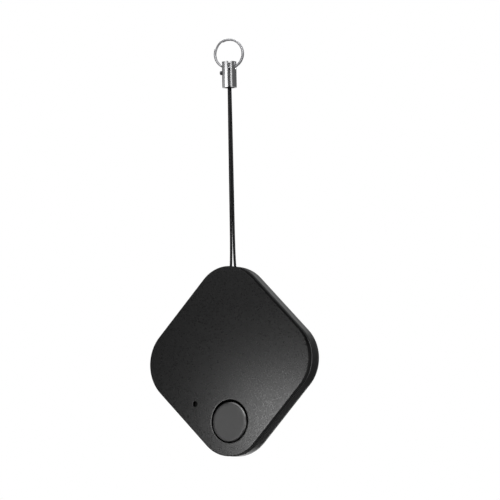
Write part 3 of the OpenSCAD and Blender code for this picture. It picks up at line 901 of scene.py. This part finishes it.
@dataclass
class Fittings:
    """The metal end of the lanyard: split ring, slit crimp tube, its pin and the plug that grips the cord."""

    turn: float = math.radians(18)
    ring_radius: float = 3.475 * MM
    wire: float = 0.5 * MM
    wire_edge: float = 0.07 * MM
    wire_sides: int = 18
    coil_pitch: float = 0.54 * MM
    coil_degrees: float = 720.0
    coil_step: float = 4.0
    cross_at: float = 138.0
    cross_arc: float = 40.0
    tube_radius: float = 1.75 * MM
    tube_wall: float = 0.45 * MM
    tube_span: Point = (-8.2165 * MM, -1.9165 * MM)
    tube_edge: float = 0.05 * MM
    tube_steps: int = 90
    slit: float = 0.45 * MM
    slit_turn: float = math.radians(34)
    eye_z: float = -3.1225 * MM
    eye_radius: float = 0.756 * MM
    hole_steps: int = 40
    pin_z: float = -4.5684 * MM
    pin_radius: float = 0.25 * MM
    pin_play: float = 0.02 * MM
    pin_edge: float = 0.05 * MM
    pin_head: Point = (0.5 * MM, 0.55 * MM)
    pin_dome: float = 0.2 * MM
    head_edge: float = 0.04 * MM
    pin_steps: int = 32

    def coil_frame(self, angle: float) -> Matrix:
        """Place and direction of the ring's wire after a turn from its first end.

        Args:
            angle: The turn, in degrees.

        Returns:
            A frame whose z axis runs along the wire.
        """
        def sideways(a: float) -> float:
            """Sideways place of the wire, eased over the crossing between the coils."""
            share = min(1.0, max(0.0, (a - 360 + self.cross_arc) / self.cross_arc))
            return self.coil_pitch * (share * share * (3 - 2 * share) - 0.5)

        t = math.radians(self.cross_at + self.cross_arc / 2 + angle)
        out = Vector((math.cos(t), 0, math.sin(t)))
        slope = sideways(angle + 0.5) - sideways(angle - 0.5)
        along = Vector((-math.sin(t), slope / (self.ring_radius * math.radians(1)), math.cos(t))).normalized()
        turn = Matrix((out, along.cross(out).normalized(), along)).transposed().to_4x4()
        return Matrix.Translation(out * self.ring_radius + Vector((0, sideways(angle), 0))) @ turn

    def build_ring(self) -> None:
        """Winds the wire into two coils with a crossing between them, and dulls its cut ends."""
        steps = round((self.coil_degrees - self.cross_arc) / self.coil_step)
        frames = [self.coil_frame(k * self.coil_step) for k in range(steps + 1)]
        shape = Shape()
        rows = list(shape.follow(shape.disc(self.wire / 2, self.wire_sides), frames))
        shape.close_ends()
        shape.soften([*rows[0], *rows[-1]], self.wire_edge)
        ring = shape.finish("ring_coils", RING_NICKEL, Matrix.Rotation(self.turn, 4, "Z"))
        mount(ring, Body.RING, "bright_metal", "split_ring")

    def build_tube(self) -> None:
        """Bends a wall round into a slit tube, cuts the ring's and the pin's holes and breaks its edges."""
        outer, (low, high) = self.tube_radius, self.tube_span
        inner = outer - self.tube_wall
        half_slit = math.asin(self.slit / 2 / (outer - self.tube_wall / 2))
        section = [(inner, low), (outer, low), (outer, high), (inner, high)]
        start = Matrix.Rotation(self.slit_turn - QUARTER + half_slit, 3, "Z")
        shape = Shape()
        edges = shape.chain([start @ Vector((r, 0, z)) for r, z in section], closed=True)
        shape.turn(edges, Vector(), math.tau - 2 * half_slit, self.tube_steps)
        shape.close_ends()
        tube = shape.finish("crimp_sleeve", BRIGHT_NICKEL)
        across = Matrix.Rotation(QUARTER, 4, "Y")
        for height, radius in ((self.eye_z, self.eye_radius), (self.pin_z, self.pin_radius + self.pin_play)):
            drill = Shape()
            bmesh.ops.create_cone(
                drill.bm, cap_ends=True, segments=self.hole_steps, radius1=radius, radius2=radius,
                depth=4 * outer, matrix=self.turned((0, 0, height)) @ across,
            )
            carve(tube, drill.finish("drill", BRIGHT_NICKEL))
        shade(tube.data)
        break_edges(tube, self.tube_edge)
        mount(tube, Body.LANYARD, "bright_metal", "crimp_tube")

    def turned(self, place: Triple) -> Matrix:
        """A place in the fittings' own frame, which is turned about the upright."""
        return Matrix.Rotation(self.turn, 4, "Z") @ Matrix.Translation(place)

    def build_pin(self) -> None:
        """Turns the cross pin with its domed head."""
        (wide, tall), thin = self.pin_head, self.pin_radius
        end = self.tube_wall / 2 - 2 * self.tube_radius
        profile = [(0, tall), *arc((wide - self.pin_dome, tall - self.pin_dome), self.pin_dome, 90, 0, 5)]
        profile += [(wide, self.head_edge), (wide - self.head_edge, 0), (thin, 0)]
        profile += [(thin, end + self.pin_edge), (thin - self.pin_edge, end), (0, end)]
        shape = Shape()
        shape.lathe(profile, (0, 0), self.pin_steps)
        place = self.turned((-self.tube_radius, 0, self.pin_z)) @ Matrix.Rotation(-QUARTER, 4, "Y")
        mount(shape.finish("cross_pin", BLACKENED_STEEL, place), Body.LANYARD, "dark_metal", "crimp_pin")

    def build(self) -> None:
        """Builds the fittings; the plug keeps its solid."""
        self.build_ring()
        self.build_tube()
        self.build_pin()
        paint_node("cord_plug", BLACK_NYLON)


@dataclass
class CaseFrame:
    """The case's own frame: x across, y up the face from its centre, z up from the back."""

    side: float = 38.0 * MM
    corner_radius: float = 9.6 * MM
    thickness: float = 7.0 * MM
    seam: float = 5.75 * MM
    back_y: float = 4.2 * MM
    centre_z: float = -74.5936 * MM
    corner_steps: int = 24

    def place(self) -> Matrix:
        """What brings the case's own frame into the part's frame."""
        return Matrix(((1, 0, 0, 0), (0, 0, -1, self.back_y), (0, 1, 0, self.centre_z), (0, 0, 0, 1)))

    def fit(self, shape: Shape, name: str, finish: Finish, body: Body, slot: str, *nodes: str) -> None:
        """Finishes a shape that was built in the case's own frame, and mounts it."""
        mount(shape.finish(name, finish, self.place()), body, slot, *nodes)

    def corner(self, k: int) -> Vector:
        """Centre of a corner's arc: the top one is 0, and the count goes anticlockwise."""
        out = Vector((math.cos(QUARTER * (k + 1)), math.sin(QUARTER * (k + 1)), 0))
        return out * (self.side / 2 - self.corner_radius) * math.sqrt(2)

    def sweep(self, shape: Shape, section: Sequence[Point], gap: float = 0.0, closed: bool = False) -> None:
        """Sweeps a section round the case: quarter turns at the corners and straight runs between them.

        Args:
            shape: What it is added to.
            section: Its points, as distance from the corner's centre and height.
            gap: Half of the angle that is left open at the top corner, in radians.
            closed: Whether the section is a loop.
        """
        ahead = Matrix.Rotation(QUARTER + gap, 3, "Z")
        points = [self.corner(0) + ahead @ Vector((r, 0, 0)) + Vector((0, 0, h)) for r, h in section]
        edges = shape.chain(points, closed)
        for k, angle in enumerate((EIGHTH - gap, QUARTER, QUARTER, QUARTER, EIGHTH - gap)):
            if k > 0:
                edges = shape.shift(edges, Matrix.Translation(self.corner(k) - self.corner(k - 1)))
            steps = max(2, round(self.corner_steps * angle / QUARTER))
            edges = shape.turn(edges, self.corner(k), angle, steps)
        shape.weld()


@dataclass
class FrontCover:
    """The front shell with its button hole, light hole, locating lip and the ribs over the lanyard bar."""

    case: CaseFrame
    edge: float = 0.045 * MM
    band: float = 0.16 * MM
    undercut: float = 0.3 * MM
    foot: Point = (0.04 * MM, 0.03 * MM)
    side_draw: float = 0.12 * MM
    side_edge: float = 0.12 * MM
    side_lap: float = 0.02 * MM
    side_inset: Point = (0.02 * MM, 0.01 * MM)
    margin: float = 0.25 * MM
    lip_out: float = 8.3 * MM
    lip_wall: float = 0.8 * MM
    lip_depth: float = 1.0 * MM
    lip_gap: float = 4.1 * MM
    lip_edge: float = 0.06 * MM
    root: float = 0.625 * MM
    button_at: Point = (0.0, -14.48 * MM)
    button_hole: float = 5.25 * MM
    button_steps: int = 96
    chamfer: float = 0.03 * MM
    hole_foot: float = 0.05 * MM
    light_at: Point = (-9.8995 * MM, -9.8995 * MM)
    light_hole: float = 0.68 * MM
    light_edge: float = 0.03 * MM
    light_margin: float = 0.1 * MM
    light_steps: int = 40
    cup_wall: float = 0.16 * MM
    cup_lap: float = 0.02 * MM
    cup_below: float = 0.06 * MM
    rib_size: Triple = (1.1 * MM, 1.5 * MM, 1.275 * MM)
    rib_x: float = 2.25 * MM
    rib_edge: float = 0.05 * MM
    bar_y: float = 21.0936 * MM

    def build_face(self) -> None:
        """Sweeps the face's edge, turns the two holes and closes the flats between them."""
        top, seam, reach = self.case.thickness, self.case.seam, self.case.corner_radius
        face, under = reach - self.side_edge + self.side_lap, reach - self.undercut
        rim = [(face - self.edge - self.margin, top)]
        rim += arc((face - self.edge, top - self.edge), self.edge, 90, 0, 6)
        rim += [(face, top - self.band), (under, seam + self.foot[1])]
        rim += [(under - self.foot[0], seam), (under - self.margin, seam)]
        shape = Shape()
        self.case.sweep(shape, rim)
        wide, bevel, soft = self.button_hole, self.chamfer, self.hole_foot
        hole = [(wide + bevel + self.margin, top), *arc((wide + bevel, top - bevel), bevel, 90, 180, 3)]
        hole += [(wide, seam + soft), (wide + soft, seam), (wide + self.margin, seam)]
        shape.lathe(hole, self.button_at, self.button_steps)
        small, bevel, spare = self.light_hole, self.light_edge, self.light_margin
        pipe = [(small + bevel + spare, top), *arc((small + bevel, top - bevel), bevel, 90, 180, 4)]
        shape.lathe([*pipe, (small, seam), (small + spare, seam)], self.light_at, self.light_steps)
        shape.fill(top)
        shape.fill(seam)
        self.case.fit(shape, "front_face", FRONT_SATIN, Body.COVER, "front_plastic", "front_shell")

    def build_side(self) -> None:
        """Sweeps the strip that shows below the face's edge, near black and reflecting little, as painted
        shade.
        """
        reach, round_edge = self.case.corner_radius, self.side_edge
        low, high = self.case.seam + self.side_inset[0], self.case.thickness - self.side_inset[1]
        drawn = reach - self.side_draw
        strip = arc((reach - round_edge, high - round_edge), round_edge, 90, 0, 5)
        strip += [(drawn, low), (drawn - self.undercut, low), (reach - self.undercut, high - round_edge)]
        shape = Shape()
        self.case.sweep(shape, strip, closed=True)
        self.case.fit(shape, "front_side", SIDE_SHADE, Body.COVER, "front_plastic", "front_shell")

    def build_lip(self) -> None:
        """Sweeps the locating lip, open at the lanyard's slot, and stands the ribs over the bar."""
        low, high = self.case.seam - self.lip_depth, self.case.seam + self.root
        inner, outer, soft = self.lip_out - self.lip_wall, self.lip_out, self.lip_edge
        lip = [(inner, high), (inner, low + soft), (inner + soft, low)]
        lip += [(outer - soft, low), (outer, low + soft), (outer, high)]
        gap = math.asin(self.lip_gap / (self.lip_out - self.lip_wall / 2))
        shape = Shape()
        self.case.sweep(shape, lip, gap, closed=True)
        shape.close_ends()
        for side in (-1, 1):
            centre = (side * self.rib_x, self.bar_y, high - self.rib_size[2] / 2)
            shape.block(centre, self.rib_size, self.rib_edge)
        self.case.fit(shape, "front_lip", FRONT_SATIN, Body.COVER, "front_plastic", "front_shell")

    def build_light(self) -> None:
        """Sets a black cup without reflection round the light pipe, as painted shade that keeps the hole
        dark; the pipe keeps its solid.
        """
        paint_node("light_pipe", SMOKED_CLEAR)
        inner, outer = self.light_hole - self.cup_wall, self.light_hole + self.cup_lap
        low = self.case.back_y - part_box("light_pipe")[0].y
        high = self.case.thickness - self.cup_below
        shape = Shape()
        wall = [(outer, low), (outer, high), (inner, high), (inner, low)]
        shape.lathe(wall, self.light_at, self.light_steps, closed=True)
        self.case.fit(shape, "light_cup", CUP_SHADE, Body.COVER, "smoked_lens")

    def build(self) -> None:
        """Builds the shell's pieces."""
        self.build_face()
        self.build_side()
        self.build_lip()
        self.build_light()


@dataclass
class PushButton:
    """The button cap in the front shell, with the skirt that holds it in and its stem."""

    case: CaseFrame
    at: Point = (-0.06 * MM, -14.6936 * MM)
    radius: float = 4.85 * MM
    proud: float = 0.2 * MM
    chamfer: float = 0.3 * MM
    edge: float = 0.08 * MM
    dish: float = 0.06 * MM
    dish_rings: int = 8
    steps: int = 96
    flange: Point = (5.65 * MM, 0.5 * MM)
    flange_low: float = 5.2 * MM
    stem: float = 1.3 * MM
    stem_low: float = 4.12 * MM
    skirt_edge: float = 0.05 * MM

    def build_cap(self) -> None:
        """Turns the cap with a faintly dished top and a chamfered edge."""
        top, rings = self.case.thickness + self.proud, self.dish_rings
        low, flat = self.flange_low + self.flange[1] / 2, self.radius - self.chamfer
        profile = [(flat * k / rings, top - self.dish * (1 - (k / rings) ** 2)) for k in range(rings)]
        profile += arc((flat, top - self.edge), self.edge, 90, 45, 3)
        profile += arc((self.radius - self.edge, top - self.chamfer), self.edge, 45, 0, 3)
        shape = Shape()
        shape.lathe([*profile, (self.radius, low), (0, low)], self.at, self.steps)
        self.case.fit(shape, "button_top", BUTTON_SATIN, Body.BUTTON, "button_plastic", "button_cap")

    def build_skirt(self) -> None:
        """Turns the skirt below the cap, and its stem, near black and reflecting little, as painted shade in
        the gap round the cap.
        """
        (wide, thick), low, soft = self.flange, self.flange_low, self.skirt_edge
        high = low + thick
        skirt = [(0, high), (wide - soft, high), (wide, high - soft), (wide, low + soft), (wide - soft, low)]
        skirt += [(self.stem, low), (self.stem, self.stem_low + soft)]
        skirt += [(self.stem - soft, self.stem_low), (0, self.stem_low)]
        shape = Shape()
        shape.lathe(skirt, self.at, self.steps)
        self.case.fit(shape, "button_skirt", SKIRT_SHADE, Body.BUTTON, "button_plastic", "button_cap")

    def build(self) -> None:
        """Builds the button's two pieces."""
        self.build_cap()
        self.build_skirt()


@dataclass
class RearCase:
    """The rear shell and the bar that the cord goes round, which keep their solids."""

    def build(self) -> None:
        """Dresses the solids."""
        paint_node("rear_shell", REAR_SATIN)
        paint_node("lanyard_bar", DRAWN_STEEL)


@dataclass(frozen=True)
class ChipRow:
    """A row of small two-ended chips across the board."""

    count: int
    y: float
    height: float


@dataclass
class Electronics:
    """The board with its parts, and the coin cell between its contacts."""

    case: CaseFrame
    board_top: float = 2.0 * MM
    foil: float = 0.03 * MM
    foil_edge: float = 0.01 * MM
    sunk: float = 0.02 * MM
    seated: float = 0.05 * MM
    trim_edge: float = 0.03 * MM
    row_step: float = 1.8 * MM
    rows: tuple[ChipRow, ...] = (ChipRow(6, 13.2564 * MM, 0.5 * MM), ChipRow(4, 15.0564 * MM, 0.35 * MM))
    row_chip: Point = (0.5 * MM, 1.0 * MM)
    cap_len: float = 0.24 * MM
    skin: float = 0.015 * MM
    land_wider: float = 0.16 * MM
    land_out: float = 0.1 * MM
    land_len: float = 0.4 * MM
    chip_at: Point = (-13.8284 * MM, 2.6 * MM)
    chip_side: float = 4.0 * MM
    chip_height: float = 0.85 * MM
    pads: int = 6
    pad_step: float = 0.5 * MM
    pad_size: Point = (0.5 * MM, 0.25 * MM)
    dot_inset: float = 0.6 * MM
    dot_radii: Point = (0.22 * MM, 0.25 * MM)
    dot_rise: float = 0.005 * MM
    switch_at: Point = (0.0, -14.5936 * MM)
    switch_height: float = 1.5 * MM
    dome_rim: float = 1.55 * MM
    dome_span: Point = (0.3 * MM, 0.95 * MM)
    dome_sheet: float = 0.08 * MM
    dome_rings: int = 10
    rivet_out: float = 2.1 * MM
    rivet_flat: float = 0.18 * MM
    rivet_round: float = 0.12 * MM
    foot_at: Point = (2.25 * MM, 1.2 * MM)
    foot_size: Triple = (0.6 * MM, 0.5 * MM, 0.12 * MM)
    buzzer_at: Point = (15.0 * MM, 0.0)
    buzzer_height: float = 3.0 * MM
    collar: float = 1.0 * MM
    collar_feet: Point = (0.8 * MM, 1.2 * MM)
    collar_round: float = 0.12 * MM
    clip_at: Point = (0.0, 1.6564 * MM)
    clip_top: float = 5.6 * MM
    bead_size: Triple = (15 * MM, 0.9 * MM, 0.14 * MM)
    bead_edge: float = 0.06 * MM
    led_pool: float = 0.45 * MM
    trace_width: float = 0.22 * MM
    trace_edge: float = 0.008 * MM
    traces: tuple[tuple[Point, ...], ...] = (
        ((-16.4, 3.0), (-17.2, 3.8), (-17.2, 4.4)),
        ((-11.4, 0.6), (-11.2, -4.5), (-9.9, -8.9)),
        ((-9.2, -10.6), (-6.4, -13.0), (-3.0, -14.2)),
        ((-8.9, -10.9), (-6.2, -13.5), (-3.0, -15.0)),
        ((3.0, -14.2), (8.4, -9.0), (12.6, -4.4)),
        ((3.0, -15.0), (9.2, -12.2), (13.6, -6.2), (14.4, -4.4)),
        ((-4.5, 12.4), (-6.4, 11.2), (-8.2, 8.6)),
        ((4.5, 12.4), (7.0, 11.6), (10.6, 8.0), (13.4, 4.2)),
        ((-2.7, 15.9), (-1.6, 16.8), (1.6, 16.8), (2.7, 15.9)),
    )
    vias: tuple[Point, ...] = (
        (-17.2, 4.4), (-8.2, 8.6), (-9.2, 7.4), (8.4, -9.0), (9.6, -7.8), (-6.4, -13.0), (-12.2, 7.2),
        (-15.4, -1.6), (10.6, 8.0), (9.4, 9.2), (5.6, -15.4), (-5.6, -15.6), (13.2, 5.4), (-12.6, -6.2),
    )
    via_radii: Triple = (0.14 * MM, 0.3 * MM, 0.32 * MM)
    via_rise: float = 1.3

    def dress_solids(self) -> None:
        """Gives each solid its finish."""
        low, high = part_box("led_chip")
        middle = tuple((low + high) / 2)
        led = LedFinish("led_package", (0.8, 0.79, 0.74), (0.85, 0.66, 0.12), middle, self.led_pool)
        dressed = {
            GREEN_MASK: ("circuit_board",),
            GOLD_FLASH: ("antenna_trace", "battery_contact"),
            CHIP_EPOXY: ("bluetooth_chip", "switch_base", "buzzer", "chip_resistors"),
            TINNED_STEEL: ("crystal_can", "switch_cover", "battery_clip"),
            led: ("led_chip",),
            PLUNGER_WHITE: ("switch_plunger",),
            FIRED_CERAMIC: ("chip_capacitors",),
            CELL_NICKEL: ("coin_cell_can", "coin_cell_cap"),
            SEAL_BLACK: ("coin_cell_seal",),
            PRESSED_POWDER: ("coin_cell_core",),
        }
        for finish, nodes in dressed.items():
            for node in nodes:
                paint_node(node, finish)

    def build_dome(self) -> None:
        """Turns the switch's snap dome."""
        low, high = (self.board_top + h for h in self.dome_span)
        rise, sheet, rings = high - low - self.dome_sheet, self.dome_sheet, self.dome_rings
        crown = [(self.dome_rim * k / rings, high - rise * (k / rings) ** 2) for k in range(rings + 1)]
        shape = Shape()
        shape.lathe(crown + [(r, h - sheet) for r, h in reversed(crown)], self.switch_at, steps=48)
        dome = shape.finish("snap_dome", TINNED_STEEL, self.case.place())
        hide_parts("switch_dome")
        rim, top = (tuple(self.case.place() @ Vector((*self.switch_at, h))) for h in (low + sheet, high))
        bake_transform(dome)
        LOG.info("snap_dome: %d faces between case and plunger", len(dome.data.polygons))

    def add_end_caps(self) -> None:
        """Puts the metal ends and the solder pads on the rows of small chips."""
        shape = Shape()
        wide, length = self.row_chip
        for row in self.rows:
            tall = row.height + self.skin
            cap = (wide + 2 * self.skin, self.cap_len, tall)
            land = (wide + self.land_wider, self.land_len, self.foil)
            for k in range(row.count):
                x = (k - (row.count - 1) / 2) * self.row_step
                for side in (-1, 1):
                    y = row.y + side * (length / 2 + self.skin - self.cap_len / 2)
                    shape.block((x, y, self.board_top + tall / 2), cap, self.trim_edge)
                    y = row.y + side * (length / 2 + self.land_out)
                    shape.block((x, y, self.board_top + self.foil / 2), land, self.foil_edge)
        self.case.fit(shape, "end_caps", TINNED_STEEL, Body.CASE, "contact_metal")

    def add_chip_trim(self) -> None:
        """Puts the row of pads along each side of the radio chip, and the dot at its first corner."""
        pads, dot = Shape(), Shape()
        middle = Matrix.Translation((*self.chip_at, self.board_top)) @ Matrix.Rotation(EIGHTH, 4, "Z")
        for angle in (QUARTER * k for k in range(4)):
            for k in range(self.pads):
                across = (k - (self.pads - 1) / 2) * self.pad_step
                place = Vector((self.chip_side / 2, across, self.foil / 2))
                centre = tuple(middle @ Matrix.Rotation(angle, 4, "Z") @ place)
                pads.block(centre, (*self.pad_size, self.foil), self.foil_edge, EIGHTH + angle)
        inset, (flat, wide) = self.chip_side / 2 - self.dot_inset, self.dot_radii
        x, y, z = middle @ Vector((-inset, inset, self.chip_height))
        high, low = z + self.dot_rise, z - self.sunk
        dot.lathe([(0, high), (flat, high), (wide, low), (0, low)], (x, y), steps=24)
        self.case.fit(pads, "chip_pads", TINNED_STEEL, Body.CASE, "contact_metal")
        self.case.fit(dot, "chip_dot", DOT_GREY, Body.CASE, "chip_black")

    def add_switch_trim(self) -> None:
        """Puts the rivets on the switch's cover and the feet at its sides."""
        rivets, feet = Shape(), Shape()
        (x, y), top, bulge = self.switch_at, self.board_top + self.switch_height, self.rivet_round
        rivet = [(0, top + bulge), *arc((self.rivet_flat, top), bulge, 90, 0, 4)]
        rivet += [(self.rivet_flat + bulge, top - self.seated), (0, top - self.seated)]
        for angle in (QUARTER * k for k in range(4)):
            place = Vector((x, y, 0)) + Matrix.Rotation(angle, 3, "Z") @ Vector((self.rivet_out, 0, 0))
            rivets.lathe(rivet, (place.x, place.y), steps=20)
        for side, end in ((-1, -1), (-1, 1), (1, -1), (1, 1)):
            out = Matrix.Rotation(EIGHTH, 3, "Z") @ Vector((side * self.foot_at[0], end * self.foot_at[1], 0))
            place = (x + out.x, y + out.y, self.board_top + self.foot_size[2] / 2)
            feet.block(place, self.foot_size, self.trim_edge, EIGHTH)
        self.case.fit(rivets, "switch_rivets", BLACK_NYLON, Body.CASE, "chip_black")
        self.case.fit(feet, "switch_feet", TINNED_STEEL, Body.CASE, "contact_metal")

    def add_board_tracks(self) -> None:
        """Lays the masked copper tracks and the plated holes between the parts."""
        tracks, plated = Shape(), Shape()
        for trace in self.traces:
            for start, end in zip(trace, trace[1:]):
                a, b = Vector((*start, 0)) * MM, Vector((*end, 0)) * MM
                run, middle = b - a, (a + b) / 2
                place = (middle.x, middle.y, self.board_top + self.foil / 2)
                size = (run.length + self.trace_width, self.trace_width, self.foil)
                tracks.block(place, size, self.trace_edge, math.atan2(run.y, run.x))
        low, high = self.board_top - self.sunk, self.board_top + self.foil * self.via_rise
        bore, rim, foot = self.via_radii
        for x, y in self.vias:
            ring = [(bore, low), (bore, high), (rim, high), (foot, low)]
            plated.lathe(ring, (x * MM, y * MM), steps=20, closed=True)
        self.case.fit(tracks, "board_tracks", TRACK_MASK, Body.CASE, "board")
        self.case.fit(plated, "plated_holes", GOLD_FLASH, Body.CASE, "copper")

    def add_pressed_details(self) -> None:
        """Puts the stiffening bead on the battery clip's strap and the collar round the buzzer's port."""
        bead, collar = Shape(), Shape()
        bead.block((*self.clip_at, self.clip_top), self.bead_size, self.bead_edge, EIGHTH)
        top = self.board_top + self.buzzer_height
        inner, outer = ((r, top - self.seated) for r in self.collar_feet)
        ring = [inner, *arc((self.collar, top), self.collar_round, 180, 0, 6), outer]
        collar.lathe(ring, self.buzzer_at, steps=40, closed=True)
        self.case.fit(bead, "clip_bead", TINNED_STEEL, Body.CASE, "contact_metal")
        self.case.fit(collar, "buzzer_collar", BLACK_NYLON, Body.CASE, "chip_black")

    def build(self) -> None:
        """Dresses the solids and adds the details that they leave out."""
        self.dress_solids()
        self.build_dome()
        self.add_end_caps()
        self.add_chip_trim()
        self.add_switch_trim()
        self.add_board_tracks()
        self.add_pressed_details()


def main() -> None:
    """Builds the studio, the lanyard, the case and what is in it."""
    logging.basicConfig(level=logging.INFO, format="%(name)s: %(message)s")
    studio = Studio()
    studio.place_camera()
    LanyardCord().build()
    Fittings().build()
    case = CaseFrame()
    FrontCover(case).build()
    PushButton(case).build()
    RearCase().build()
    Electronics(case).build()
    studio.light()
    studio.lay_floor()


if __name__ == "__main__":
    main()
